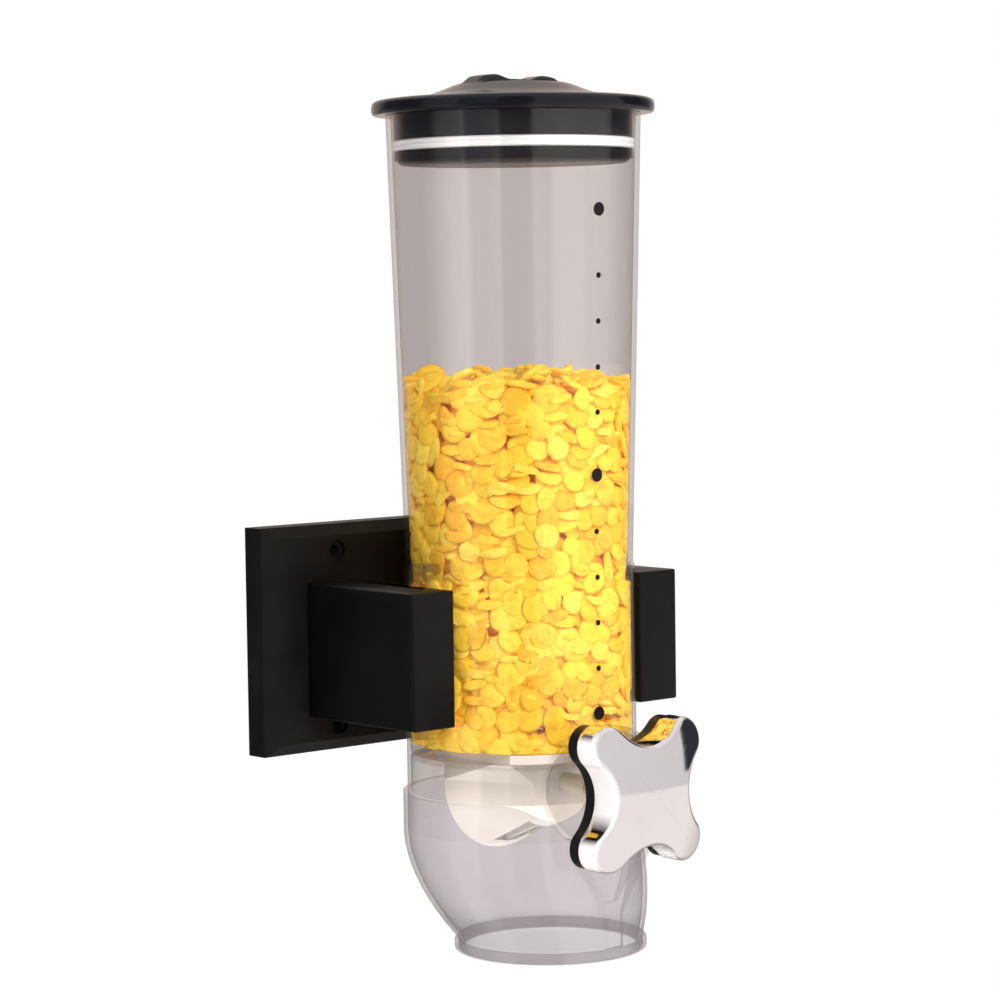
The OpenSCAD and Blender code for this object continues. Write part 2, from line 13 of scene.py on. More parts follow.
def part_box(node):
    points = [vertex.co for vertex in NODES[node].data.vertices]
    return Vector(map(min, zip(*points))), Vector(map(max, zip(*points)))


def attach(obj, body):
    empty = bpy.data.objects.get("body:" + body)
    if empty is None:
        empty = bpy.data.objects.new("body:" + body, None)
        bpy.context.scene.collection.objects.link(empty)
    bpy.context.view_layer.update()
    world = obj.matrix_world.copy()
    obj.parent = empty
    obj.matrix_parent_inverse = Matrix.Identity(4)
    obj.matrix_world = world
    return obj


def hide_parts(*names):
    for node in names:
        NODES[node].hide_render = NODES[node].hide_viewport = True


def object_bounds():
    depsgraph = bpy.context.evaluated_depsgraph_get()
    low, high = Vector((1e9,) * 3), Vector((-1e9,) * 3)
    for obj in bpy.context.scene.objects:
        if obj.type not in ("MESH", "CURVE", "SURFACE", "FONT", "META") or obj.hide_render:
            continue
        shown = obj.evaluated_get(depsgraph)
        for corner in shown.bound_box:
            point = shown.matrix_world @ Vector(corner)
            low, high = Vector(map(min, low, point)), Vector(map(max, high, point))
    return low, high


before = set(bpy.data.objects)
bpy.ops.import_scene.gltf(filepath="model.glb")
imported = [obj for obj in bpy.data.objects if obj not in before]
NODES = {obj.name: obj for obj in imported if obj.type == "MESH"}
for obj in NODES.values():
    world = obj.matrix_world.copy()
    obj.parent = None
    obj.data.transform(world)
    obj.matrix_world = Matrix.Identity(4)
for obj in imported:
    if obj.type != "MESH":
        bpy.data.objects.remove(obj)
CAD_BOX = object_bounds()
MM = 0.001
scene = bpy.context.scene


# ---------------------------------------------------------------- frame
def half_width(box):
    """half the x extent of a CAD box, mm"""
    return (box[1].x - box[0].x) / 2 / MM


tube_box = tube_lo, tube_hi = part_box("canister_tube")
ring_box = ring_lo, ring_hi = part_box("spout_ring")
bowl_box = bowl_lo, bowl_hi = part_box("lower_bowl")
knob_box = knob_lo, knob_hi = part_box("knob_shell")
hopper_box = hopper_lo, hopper_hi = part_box("metering_hopper")
wheel_lo, wheel_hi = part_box("paddle_wheel")
arm_lo, arm_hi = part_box("right_arm")

AXIS_Y = (tube_lo.y + tube_hi.y) / 2
MOUTH_Z = ring_lo.z                        # spout mouth
TUBE_R = half_width(tube_box)              # canister, at its top
BOWL_R = half_width(bowl_box)              # rim of the bowl
BODY_R = BOWL_R - 2.0
SPOUT_R = half_width(ring_box)
SPOUT_Y = (ring_lo.y + ring_hi.y) / 2
LID_R = half_width(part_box("lid_cover"))
PLUG_R = half_width(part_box("lid_plug"))
SEAL_R = half_width(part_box("lid_seal"))
GROOVE_Z = 358.4                           # foot of the lid seal
KNOB_X, KNOB_Z = (knob_lo.x + knob_hi.x) / 2, (knob_lo.z + knob_hi.z) / 2


# ---------------------------------------------------------------- mesh helpers
def new_mesh(name, verts, faces):
    mesh = bpy.data.meshes.new(name)
    mesh.from_pydata([tuple(v) for v in verts], [], faces)
    mesh.validate()
    mesh.update()
    ob = bpy.data.objects.new(name, mesh)
    scene.collection.objects.link(ob)
    mesh.shade_smooth()
    return ob


def strip(first, second, count):
    """quads between two rings of count points"""
    faces = []
    for k in range(count):
        a, b = k, (k + 1) % count
        faces.append((first * count + a, first * count + b, second * count + b, second * count + a))
    return faces


def skin(name, rings, caps=False, loop=False):
    """joins equally long rings; loop also joins the last ring to the first"""
    count, last = len(rings[0]), len(rings) - 1
    faces = []
    for j in range(last):
        faces += strip(j, j + 1, count)
    if loop:
        faces += strip(last, 0, count)
    if caps:
        faces.append(tuple(reversed(range(count))))
        faces.append(tuple(range(last * count, (last + 1) * count)))
    return new_mesh(name, [p for ring in rings for p in ring], faces)


def circle(radius, z, count, centre_y=AXIS_Y):
    """level ring of points, in metres"""
    turns = [2 * math.pi * k / count for k in range(count)]
    return [(radius * math.cos(t), centre_y + radius * math.sin(t), z) for t in turns]


def lathe(profile, count, centre_y=AXIS_Y):
    """rings from (radius, height) pairs in mm"""
    return [circle(r * MM, MOUTH_Z + z * MM, count, centre_y) for r, z in profile]


def round_corners(outline, radii, steps):
    """rounds each corner of a closed 2-D outline by its own radius"""
    rounded = []
    count = len(outline)
    for i, radius in enumerate(radii):
        corner = Vector(outline[i])
        to_last = Vector(outline[i - 1]) - corner
        to_next = Vector(outline[(i + 1) % count]) - corner
        last_length, next_length = to_last.length, to_next.length
        to_last.normalize()
        to_next.normalize()
        angle = math.acos(max(-1, min(1, to_last.dot(to_next))))
        if angle > math.pi - 0.02:         # almost straight
            rounded.append(tuple(corner))
            continue
        reach = min(radius / math.tan(angle / 2), last_length * 0.48, next_length * 0.48)
        r = reach * math.tan(angle / 2)
        centre = corner + (to_last + to_next).normalized() * (r / math.sin(angle / 2))
        start = corner + to_last * reach - centre
        end = corner + to_next * reach - centre
        start_turn, end_turn = math.atan2(start.y, start.x), math.atan2(end.y, end.x)
        sweep = (end_turn - start_turn + math.pi) % (2 * math.pi) - math.pi
        for k in range(steps + 1):
            turn = start_turn + sweep * k / steps
            rounded.append((centre.x + r * math.cos(turn), centre.y + r * math.sin(turn)))
    return rounded


def smoothstep(start, end, x):
    t = max(0.0, min(1.0, (x - start) / (end - start)))
    return t * t * (3 - 2 * t)


# ---------------------------------------------------------------- node helpers
def tree(name):
    material = bpy.data.materials.new(name)
    material.use_nodes = True
    nt = material.node_tree
    nt.nodes.clear()
    return material, nt, nt.nodes.new("ShaderNodeOutputMaterial")


def find_node(material, kind):
    return next(n for n in material.node_tree.nodes if n.type == kind)


def rgba(colour):
    """a grey level or an (r, g, b) as an opaque colour"""
    return (*colour, 1.0) if isinstance(colour, tuple) else (colour, colour, colour, 1.0)


def feed(nt, socket, value):
    """links an output to the socket, or sets a plain value"""
    if isinstance(value, bpy.types.NodeSocket):
        nt.links.new(value, socket)
    else:
        socket.default_value = rgba(value) if socket.type == "RGBA" else value


def add(nt, kind, inputs=None, **settings):
    made = nt.nodes.new("ShaderNode" + kind)
    for key, value in settings.items():
        setattr(made, key, value)
    for key, value in (inputs or {}).items():
        feed(nt, made.inputs[key], value)
    return made


def math_node(nt, operation, a, b=None, clamp=False):
    inputs = {0: a} if b is None else {0: a, 1: b}
    return add(nt, "Math", inputs, operation=operation, use_clamp=clamp).outputs[0]


def vector_math(nt, operation, a, b=None):
    inputs = {0: a} if b is None else {0: a, 1: b}
    made = add(nt, "VectorMath", inputs, operation=operation)
    return made.outputs["Value" if operation in ("DOT_PRODUCT", "LENGTH") else "Vector"]


def place(nt):
    return add(nt, "TexCoord").outputs["Object"]


def split(nt, vector):
    return add(nt, "SeparateXYZ", {0: vector}).outputs


def off_axis(nt, position):
    """position measured from the canister axis"""
    return vector_math(nt, "SUBTRACT", position, (0, AXIS_Y, 0))


def level_length(nt, vector):
    return vector_math(nt, "LENGTH", vector_math(nt, "MULTIPLY", vector, (1, 1, 0)))


def noise(nt, scale, detail, roughness, stretch=None):
    position = place(nt)
    if stretch:
        position = add(nt, "Mapping", {"Vector": position, "Scale": stretch}).outputs["Vector"]
    return add(nt, "TexNoise", {"Vector": position, "Scale": scale, "Detail": detail,
                                "Roughness": roughness}).outputs["Fac"]


def ramp(nt, factor, stops):
    """colour ramp from (position, colour or grey) stops"""
    made = add(nt, "ValToRGB", {"Fac": factor})
    elements = made.color_ramp.elements
    while len(elements) > 1:
        elements.remove(elements[-1])
    elements[0].position, elements[0].color = stops[0][0], rgba(stops[0][1])
    for position, colour in stops[1:]:
        elements.new(position).color = rgba(colour)
    return made.outputs["Color"]


def map_range(nt, value, from_range, to_range=(0.0, 1.0), smooth=False):
    return add(nt, "MapRange", {"Value": value, "From Min": from_range[0],
                                "From Max": from_range[1], "To Min": to_range[0],
                                "To Max": to_range[1]},
               interpolation_type="SMOOTHSTEP" if smooth else "LINEAR").outputs["Result"]


def mix_rgb(nt, blend, factor, a, b):
    made = add(nt, "Mix", data_type="RGBA", blend_type=blend)
    colours = [s for s in made.inputs if s.type == "RGBA"]
    feed(nt, [s for s in made.inputs if s.type == "VALUE"][0], factor)
    feed(nt, colours[0], a)
    feed(nt, colours[1], b)
    return [s for s in made.outputs if s.type == "RGBA"][0]


def mix_shader(nt, factor, a, b):
    return add(nt, "MixShader", {0: factor, 1: a, 2: b}).outputs[0]


def bump_node(nt, height, distance, strength=1.0):
    return add(nt, "Bump", {"Height": height, "Distance": distance,
                            "Strength": strength}).outputs["Normal"]


# level directions: from the canister to the camera, and to the camera's right
VIEW = (-0.6539, -0.7566)
SIDE_ON = (0.7566, -0.6539)


def bearing(nt, vector):
    """0..1 round the axis, 0.5 towards the camera, rising to the right of it"""
    side = vector_math(nt, "DOT_PRODUCT", vector, (*SIDE_ON, 0))
    ahead = vector_math(nt, "DOT_PRODUCT", vector, (*VIEW, 0))
    turn = math_node(nt, "ARCTAN2", side, ahead)
    return math_node(nt, "ADD", math_node(nt, "DIVIDE", turn, 2 * math.pi), 0.5)


def bearing_stops(table):
    """(degrees from the camera, colour) rows as ramp stops"""
    return [(degrees / 360 + 0.5, colour) for degrees, colour in table]


# ---------------------------------------------------------------- opaque materials
def solid(name, dark, light, rough, specular, mottle, grain, bump,
          metallic=0.0, coat=0.0, sss=0.0, stretch=None):
    """opaque: broad colour mottle, roughness variation and a fine grain"""
    material, nt, out = tree(name)
    broad = noise(nt, mottle, detail=4.0, roughness=0.55, stretch=stretch)
    fine = noise(nt, grain, detail=3.0, roughness=0.6)
    surface = add(nt, "BsdfPrincipled", {
        "Base Color": ramp(nt, broad, [(0.3, dark), (0.7, light)]),
        "Roughness": ramp(nt, broad, [(0.25, rough[0]), (0.75, rough[1])]),
        "Metallic": metallic, "Specular IOR Level": specular,
        "Coat Weight": coat, "Coat Roughness": 0.05,
        "Normal": bump_node(nt, fine, distance=bump)})
    if sss:
        feed(nt, surface.inputs["Subsurface Weight"], sss)
        feed(nt, surface.inputs["Subsurface Radius"], (0.003, 0.003, 0.003))
        feed(nt, surface.inputs["Subsurface Scale"], 1.0)
    feed(nt, out.inputs["Surface"], surface.outputs["BSDF"])
    return material


WHITE = ((0.80, 0.765, 0.71), (0.86, 0.83, 0.78), (0.3, 0.42), 0.4, 50, 2400, 10e-6, {"sss": 0.1})
# name: dark and light colour, roughness range, specular, mottle scale, grain scale,
# grain depth in metres, extras
SOLIDS = {
    "bracket_black": ((0.0022, 0.0021, 0.0022), (0.0045, 0.0042, 0.0042),
                      (0.36, 0.50), 0.16, 45, 3200, 12e-6, {}),
    "arm_black": ((0.0014, 0.0014, 0.0016), (0.0030, 0.0030, 0.0033),
                  (0.34, 0.46), 0.17, 38, 2800, 14e-6, {}),
    "lid_black": ((0.0025, 0.0025, 0.0045), (0.0045, 0.0045, 0.0070),
                  (0.10, 0.18), 0.26, 30, 1500, 4e-6, {"coat": 0.08}),
    "plug_black": ((0.0025, 0.0025, 0.0045), (0.0045, 0.0045, 0.0070),
                   (0.14, 0.22), 0.15, 30, 1500, 4e-6, {}),
    "knob_black": ((0.004, 0.004, 0.005), (0.008, 0.008, 0.009),
                   (0.28, 0.4), 0.2, 60, 2400, 8e-6, {}),
    "white_plastic": WHITE,
    "hopper_white": WHITE,
    "cream_bushing": ((0.74, 0.68, 0.52), (0.80, 0.75, 0.60),
                      (0.4, 0.5), 0.4, 80, 2600, 8e-6, {}),
    "soft_white": ((0.66, 0.67, 0.64), (0.74, 0.75, 0.72),
                   (0.5, 0.65), 0.3, 90, 2000, 20e-6, {"sss": 0.3}),
    "seal_silicone": ((0.84, 0.88, 0.91), (0.90, 0.93, 0.95),
                      (0.35, 0.5), 0.4, 70, 1800, 10e-6, {"sss": 0.25}),
    "black_print": ((0.004, 0.003, 0.003), (0.008, 0.006, 0.006),
                    (0.5, 0.6), 0.2, 300, 4000, 10e-6, {}),
    "knob_chrome": ((0.80, 0.785, 0.785), (0.84, 0.825, 0.825),
                    (0.02, 0.05), 0.5, 25, 900, 1.2e-6, {"metallic": 1.0}),
    "steel": ((0.50, 0.50, 0.51), (0.62, 0.62, 0.63),
              (0.22, 0.34), 0.5, 80, 1800, 6e-6, {"metallic": 1.0, "stretch": (1, 12, 1)}),
}
MATERIALS = {name: solid(name, *row[:-1], **row[-1]) for name, row in SOLIDS.items()}

# painted shade by facing: (how far the wall faces left of the camera, tint)
HOPPER_SHADE = [(0.0, (1.0, 1.0, 1.0)), (0.35, (0.95, 0.95, 0.95)), (0.62, (0.84, 0.83, 0.82)),
                (0.76, (0.72, 0.71, 0.695)), (1.0, (0.66, 0.65, 0.635))]


def shade_hopper(material):
    """painted glow on the trough under the flange, from a little emission; walls that face left get
    painted shade
    """
    nt = material.node_tree
    surface = find_node(material, "BSDF_PRINCIPLED")
    height = split(nt, place(nt))["Z"]
    # painted glow: emission on the trough below the flange, standing in for light
    painted_glow = map_range(nt, height, (MOUTH_Z + 0.078, MOUTH_Z + 0.066), (0.0, 0.08), smooth=True)
    normal = add(nt, "NewGeometry").outputs["Normal"]
    leftward = vector_math(nt, "DOT_PRODUCT", normal, (-SIDE_ON[0], -SIDE_ON[1], 0))
    shade = ramp(nt, leftward, HOPPER_SHADE)
    base = surface.inputs["Base Color"]
    feed(nt, base, mix_rgb(nt, "MULTIPLY", 1.0, base.links[0].from_socket, shade))
    level = add(nt, "RGBToBW", {0: shade}).outputs[0]
    feed(nt, surface.inputs["Emission Color"], (1.0, 0.93, 0.87))
    feed(nt, surface.inputs["Emission Strength"], math_node(nt, "MULTIPLY", painted_glow, level))


def paint_chrome_reflection(material):
    """painted reflection: side walls that face left get a matt white mixed in for the white
    surroundings they reflect, those that face up do not
    """
    nt = material.node_tree
    plated = find_node(material, "BSDF_PRINCIPLED").outputs["BSDF"]
    out = find_node(material, "OUTPUT_MATERIAL")
    normal = split(nt, add(nt, "NewGeometry").outputs["Normal"])
    left = math_node(nt, "SUBTRACT", math_node(nt, "MULTIPLY", normal["X"], -1.0), 0.38)
    left = math_node(nt, "MULTIPLY", left, 2.6, clamp=True)
    upward = math_node(nt, "SUBTRACT", normal["Z"], 0.30)
    upward = math_node(nt, "MULTIPLY", upward, 3.0, clamp=True)
    level = math_node(nt, "SUBTRACT", 1.0, upward, clamp=True)
    share = math_node(nt, "MULTIPLY", math_node(nt, "MULTIPLY", left, level), 0.78)
    # painted reflection: matt white mixed into the left-facing chrome
    pale = add(nt, "BsdfDiffuse", {"Color": (0.80, 0.765, 0.765)}).outputs[0]
    feed(nt, out.inputs["Surface"], mix_shader(nt, share, plated, pale))


shade_hopper(MATERIALS["hopper_white"])
paint_chrome_reflection(MATERIALS["knob_chrome"])

# ---------------------------------------------------------------- clear materials
# painted reflection bands, light and dark, fixed round the axis: (degrees from the camera,
# brightness of the clear wall there)
PAINTED_WALL_BANDS = [
    (-100, 1.0), (-80, 1.10), (-68, 1.03), (-60, 0.91), (-54, 0.84), (-48, 0.78), (-41, 0.85),
    (-35, 0.94), (-30, 1.03), (-21.5, 1.07), (-20.3, 0.95), (-13, 0.925), (-7, 0.97),
    (-6, 0.885), (0, 0.855), (6, 0.885), (9.5, 0.955), (16, 0.95), (18, 1.07), (31, 1.10),
    (36, 1.05), (40, 1.08), (46, 1.03), (54, 1.06), (58, 0.99), (64, 1.04), (72, 1.14),
    (80, 1.22), (100, 1.05)]
# the bowl is darker towards the mouth: (height in mm, brightness)
BOWL_NEAR = [(0, 0.905), (5, 0.90), (5.8, 0.865), (14, 0.875), (20, 0.965), (26, 1.0), (100, 1.0)]
BOWL_FAR = [(0, 0.905), (5, 0.90), (7, 0.985), (16, 0.985), (30, 1.0), (100, 1.0)]
STEP_LOW, STEP_HIGH = MOUTH_Z + 0.1716, MOUTH_Z + 0.1724    # heights round the bonded step


def painted_band_tint(nt, banding):
    """painted reflection bands: soft light and dark vertical bands round the axis, in the tint"""
    turn = bearing(nt, off_axis(nt, place(nt)))
    bands = [(degrees, (level * 0.89) ** (0.5 * banding)) for degrees, level in PAINTED_WALL_BANDS]
    return ramp(nt, turn, [(0.0, 1.0)] + bearing_stops(bands) + [(1.0, 1.0)])


def bowl_tint(nt):
    """tint by height, with one table for the half nearer the camera and one for the rest"""
    position = place(nt)
    height = math_node(nt, "SUBTRACT", split(nt, position)["Z"], MOUTH_Z)
    height = math_node(nt, "DIVIDE", height, 0.1)
    near_tint, far_tint = [ramp(nt, height, [(mm / 100, (v, v, v * 1.004)) for mm, v in table])
                           for table in (BOWL_NEAR, BOWL_FAR)]
    ahead = vector_math(nt, "DOT_PRODUCT", position, (*VIEW, 0))
    near = math_node(nt, "GREATER_THAN", ahead, VIEW[1] * AXIS_Y + 0.006)
    return mix_rgb(nt, "MIX", near, far_tint, near_tint)


def bonded(nt, top, share, radius):
    """where the wall vanishes: bonded inside the next one below top, and on the level step"""
    position = place(nt)
    z = split(nt, position)["Z"]
    below = math_node(nt, "LESS_THAN", z, top)
    if radius:
        distance = level_length(nt, off_axis(nt, position))
        below = math_node(nt, "MULTIPLY", below, math_node(nt, "LESS_THAN", distance, radius))
    below = math_node(nt, "MULTIPLY", below, share)
    normal_z = split(nt, add(nt, "NewGeometry").outputs["True Normal"])["Z"]
    level = math_node(nt, "GREATER_THAN", math_node(nt, "ABSOLUTE", normal_z), 0.7)
    step = math_node(nt, "MULTIPLY", math_node(nt, "GREATER_THAN", z, STEP_LOW),
                     math_node(nt, "LESS_THAN", z, STEP_HIGH))
    return math_node(nt, "MAXIMUM", below, math_node(nt, "MULTIPLY", step, level))


def clear(name, face_tint, edge_tint, edge_power, banding, haze,
          haze_colour=(0.9, 0.88, 0.88), by_height=False, bond=None):
    """thin clear plastic: straight-through tint with painted reflection bands, reflection, haze and
    slow waves
    """
    material, nt, out = tree(name)
    facing = add(nt, "LayerWeight", {"Blend": 0.5}).outputs["Facing"]
    edge = math_node(nt, "POWER", facing, edge_power)
    waves = noise(nt, 6.0, detail=2.0, roughness=0.5, stretch=(14, 14, 3))
    vary = math_node(nt, "MULTIPLY", math_node(nt, "SUBTRACT", waves, 0.5), 0.10)
    tint = mix_rgb(nt, "MIX", math_node(nt, "ADD", edge, vary, clamp=True), face_tint, edge_tint)
    tint = mix_rgb(nt, "MULTIPLY", 1.0, tint, painted_band_tint(nt, banding))
    if by_height:
        tint = mix_rgb(nt, "MULTIPLY", 1.0, tint, bowl_tint(nt))
    # shadow and diffuse rays pass almost untinted
    rays = add(nt, "LightPath").outputs
    unseen = math_node(nt, "MAXIMUM", rays["Is Shadow Ray"], rays["Is Diffuse Ray"])
    tint = mix_rgb(nt, "MIX", unseen, tint, (0.97, 0.965, 0.96))
    through = add(nt, "BsdfTransparent", {"Color": tint}).outputs[0]
    # reflection, from 3.5 % face on to 83.5 % at the edge
    fresnel = math_node(nt, "MULTIPLY", math_node(nt, "POWER", facing, 5.0), 0.8)
    fresnel = math_node(nt, "ADD", fresnel, 0.035, clamp=True)
    gloss = add(nt, "BsdfAnisotropic", {
        "Roughness": 0.03, "Normal": bump_node(nt, waves, distance=0.00003)}).outputs[0]
    glassy = mix_shader(nt, fresnel, through, gloss)
    hazy = mix_shader(nt, 0.5, add(nt, "BsdfTranslucent", {"Color": haze_colour}).outputs[0],
                      add(nt, "BsdfDiffuse", {"Color": haze_colour}).outputs[0])
    surface = mix_shader(nt, haze, glassy, hazy)
    if bond:
        surface = mix_shader(nt, bonded(nt, **bond), surface,
                             add(nt, "BsdfTransparent").outputs[0])
    feed(nt, out.inputs["Surface"], surface)
    MATERIALS[name] = material


clear("clear_canister", face_tint=(0.914, 0.890, 0.883), edge_tint=(0.84, 0.815, 0.805),
      edge_power=6.0, banding=0.93, haze=0.006,
      bond={"top": MOUTH_Z + 0.17192, "share": 1.0, "radius": None})
clear("clear_body", face_tint=(0.910, 0.888, 0.873), edge_tint=(0.86, 0.835, 0.825),
      edge_power=6.0, banding=0.6, haze=0.008,
      bond={"top": bowl_hi.z, "share": 0.88, "radius": BOWL_R * MM - 1.3 * MM})
clear("clear_bowl", face_tint=(0.890, 0.870, 0.874), edge_tint=(0.79, 0.77, 0.775),
      edge_power=4.0, banding=0.15, haze=0.030, haze_colour=(0.86, 0.84, 0.87), by_height=True)


# ---------------------------------------------------------------- cereal material
# (random value of the flake, colour)
FLAKE_COLOURS = [(0.0, (0.95, 0.50, 0.032)), (0.15, (0.97, 0.58, 0.040)),
                 (0.40, (0.98, 0.645, 0.048)), (0.75, (1.0, 0.70, 0.065)), (1.0, (1.0, 0.76, 0.11))]


def painted_gap_shade_mask(nt):
    """where painted shade goes: flakes behind the outer layer, fading out towards the top of the
    heap
    """
    offset = off_axis(nt, place(nt))
    distance = level_length(nt, offset)
    z = split(nt, offset)["Z"]
    # the canister widens upwards, so depth is measured from its wall
    wall = map_range(nt, z, (MOUTH_Z + 0.170, MOUTH_Z + 0.260), (0.0485, 0.0517))
    depth = math_node(nt, "SUBTRACT", wall, distance)
    deep = map_range(nt, depth, (0.0030, 0.0068), smooth=True)
    under_top = map_range(nt, z, (MOUTH_Z + 0.244, MOUTH_Z + 0.253), (1.0, 0.0))
    return math_node(nt, "MULTIPLY", deep, under_top)


def cereal_material():
    material, nt, out = tree("cereal_yellow")
    base = ramp(nt, add(nt, "NewGeometry").outputs["Random Per Island"], FLAKE_COLOURS)
    spots = ramp(nt, noise(nt, 300, detail=5.0, roughness=0.65),
                 [(0.34, (0.90, 0.76, 0.50)), (0.54, 1.0)])
    colour = mix_rgb(nt, "MULTIPLY", 0.9, base, spots)
    # painted shade: flakes seen in the gaps are darker and more orange
    colour = mix_rgb(nt, "MULTIPLY", painted_gap_shade_mask(nt), colour, (0.86, 0.55, 0.30))
    fine = noise(nt, 480, detail=4.0, roughness=0.62)
    surface = add(nt, "BsdfPrincipled", {
        "Base Color": colour, "Roughness": 0.6, "Specular IOR Level": 0.22,
        "Subsurface Weight": 0.22, "Subsurface Radius": (0.0024, 0.0014, 0.0003),
        "Subsurface Scale": 1.0,
        # painted glow: a little emission standing in for light carried through the heap
        "Emission Color": colour, "Emission Strength": 0.08,
        "Normal": bump_node(nt, fine, distance=0.00028, strength=0.8)})
    feed(nt, out.inputs["Surface"], surface.outputs["BSDF"])
    return material


MATERIALS["cereal_yellow"] = cereal_material()

# ---------------------------------------------------------------- dressing
# CAD pieces by the material they wear
WEARERS = {
    "bracket_black": ["wall_plate"],
    "arm_black": ["left_arm", "right_arm"],
    "steel": ["arm_screws", "retaining_ring", "knob_clip"],
    "clear_canister": ["canister_tube"],
    "clear_body": ["dispenser_body"],
    "clear_bowl": ["lower_bowl", "spout_ring"],
    "black_print": ["level_marks"],
    "hopper_white": ["metering_hopper"],
    "cream_bushing": ["front_bushing", "rear_bushing", "drive_shaft"],
    "seal_silicone": ["shaft_seal", "lid_seal"],
    "white_plastic": ["wheel_core"],
    "soft_white": ["paddle_wheel"],
    "knob_black": ["knob_base"],
    "knob_chrome": ["knob_shell"],
    "lid_black": ["lid_cover"],
    "plug_black": ["lid_plug"],
}


def dress(ob, material):
    ob.data.materials.clear()
    ob.data.materials.append(MATERIALS[material])
    for polygon in ob.data.polygons:
        polygon.material_index = 0


def install(ob, material, node, carrier):
    """dresses a detailed piece and puts it in place of its CAD node"""
    dress(ob, material)
    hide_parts(node)
    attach(ob, carrier)


def add_weld(ob, distance):
    ob.modifiers.new("weld", "WELD").merge_threshold = distance


def dress_cad_nodes():
    worn = {piece: material for material, pieces in WEARERS.items() for piece in pieces}
    for name, ob in NODES.items():
        dress(ob, worn[name])
        add_weld(ob, 0.000002)
        ob.modifiers.new("crease", "EDGE_SPLIT").split_angle = math.radians(32)
        ob.data.shade_smooth()


dress_cad_nodes()


# ---------------------------------------------------------------- spout collar
def make_collar():
    # (outwards from the bore, height), mm
    section = [(0.08, 0.25), (0.35, 0.0), (1.2, 0.0), (1.62, 0.35), (1.8, 0.9), (1.8, 3.7),
               (1.62, 4.3), (1.25, 4.75), (0.8, 5.0), (0.3, 5.0), (0.08, 4.8)]
    bore = SPOUT_R - 1.8
    rings = lathe([(bore + r, z) for r, z in section], 240, SPOUT_Y)
    ob = skin("spout_collar", rings, loop=True)
    install(ob, "clear_bowl", "spout_ring", "bowl")


make_collar()

# ---------------------------------------------------------------- knob
# four round lobes with a scallop between each pair; mm in the knob's own x, z
LOBE_R = 9.5
LOBE_AT = half_width(knob_box) - LOBE_R          # lobe centres, in x and in z
SCALLOP_AT = 42.8 * half_width(knob_box) / 32    # scallop centres, out along x or z
SCALLOP_R = math.hypot(LOBE_AT, SCALLOP_AT - LOBE_AT) - LOBE_R
DOME_R = 140.0                                   # face
CROWN = (AXIS_Y - knob_lo.y) / MM                # crown of the face, forward of the axis
KNOB_BACK = (AXIS_Y - knob_hi.y) / MM            # back edge, forward of the axis
KNOB_EDGE = 2.1                                  # rounding between side wall and face
KNOB_WALL = 2.2


def lobe_outline(inset, steps=22):
    """closed knob outline, inset by so much, as (x, z)"""
    lobe_r, scallop_r = LOBE_R - inset, SCALLOP_R + inset
    gap = SCALLOP_AT - LOBE_AT
    # lobe at (+, +), from the top scallop round to the right one
    start, end = math.atan2(gap, -LOBE_AT), math.atan2(-LOBE_AT, gap)
    quarter = []
    for i in range(steps + 1):
        turn = start + (end - start) * i / steps
        quarter.append((LOBE_AT + lobe_r * math.cos(turn), LOBE_AT + lobe_r * math.sin(turn)))
    # right scallop, from the upper lobe down to the lower one
    start, end = math.atan2(LOBE_AT, -gap), math.atan2(-LOBE_AT, -gap) + 2 * math.pi
    for i in range(1, steps):
        turn = start + (end - start) * i / steps
        quarter.append((SCALLOP_AT + scallop_r * math.cos(turn), scallop_r * math.sin(turn)))
    outline = []
    for q in range(4):
        c, s = math.cos(-q * math.pi / 2), math.sin(-q * math.pi / 2)
        outline += [(x * c - z * s, x * s + z * c) for x, z in quarter]
    return outline


def under_dome(drop):
    """depth function of the domed face, lowered by drop"""
    return lambda x, z: CROWN - (DOME_R - math.sqrt(DOME_R * DOME_R - (x * x + z * z))) - drop


def knob_ring(outline, depth, scale=1.0):
    """outline as points; depth(x, z) is how far forward of the axis"""
    scaled = [(x * scale, z * scale) for x, z in outline]
    return [(KNOB_X + x * MM, AXIS_Y - depth(x, z) * MM, KNOB_Z + z * MM) for x, z in scaled]


def knob_outer():
    """back edge, side wall, rounded edge, domed face"""
    shoulder, face = under_dome(KNOB_EDGE), under_dome(0.0)
    wall_foot = KNOB_BACK + 0.3
    outline = lobe_outline(0.0)
    rings = [knob_ring(lobe_outline(0.25), lambda x, z: KNOB_BACK),
             knob_ring(outline, lambda x, z: wall_foot)]
    for t in (0.25, 0.5, 0.75, 1.0):
        rings.append(knob_ring(
            outline, lambda x, z: wall_foot + (shoulder(x, z) - wall_foot) * t))
    for i in range(1, 8):
        turn = math.pi / 2 * i / 7
        rings.append(knob_ring(lobe_outline(KNOB_EDGE * (1 - math.cos(turn))),
                               under_dome(KNOB_EDGE * (1 - math.sin(turn)))))
    for inset in (2.8, 3.8, 5.0, 6.4, 7.8, 9.0):
        rings.append(knob_ring(lobe_outline(inset), face))
    for scale in (0.92, 0.82, 0.7, 0.57, 0.44, 0.31, 0.18, 0.07):
        rings.append(knob_ring(lobe_outline(9.0), face, scale))
    return rings


def knob_inner():
    """inside of the face from its middle outwards, then back down the wall"""
    face = under_dome(KNOB_WALL)
    rings = [knob_ring(lobe_outline(9.0), face, scale) for scale in (0.07, 0.31, 0.57, 0.82)]
    rings += [knob_ring(lobe_outline(inset), face) for inset in (9.0, 6.4, 3.6, 2.4)]
    for forward in (4, 0):
        rings.append(knob_ring(lobe_outline(2.4), lambda x, z: KNOB_BACK + forward))
    return rings


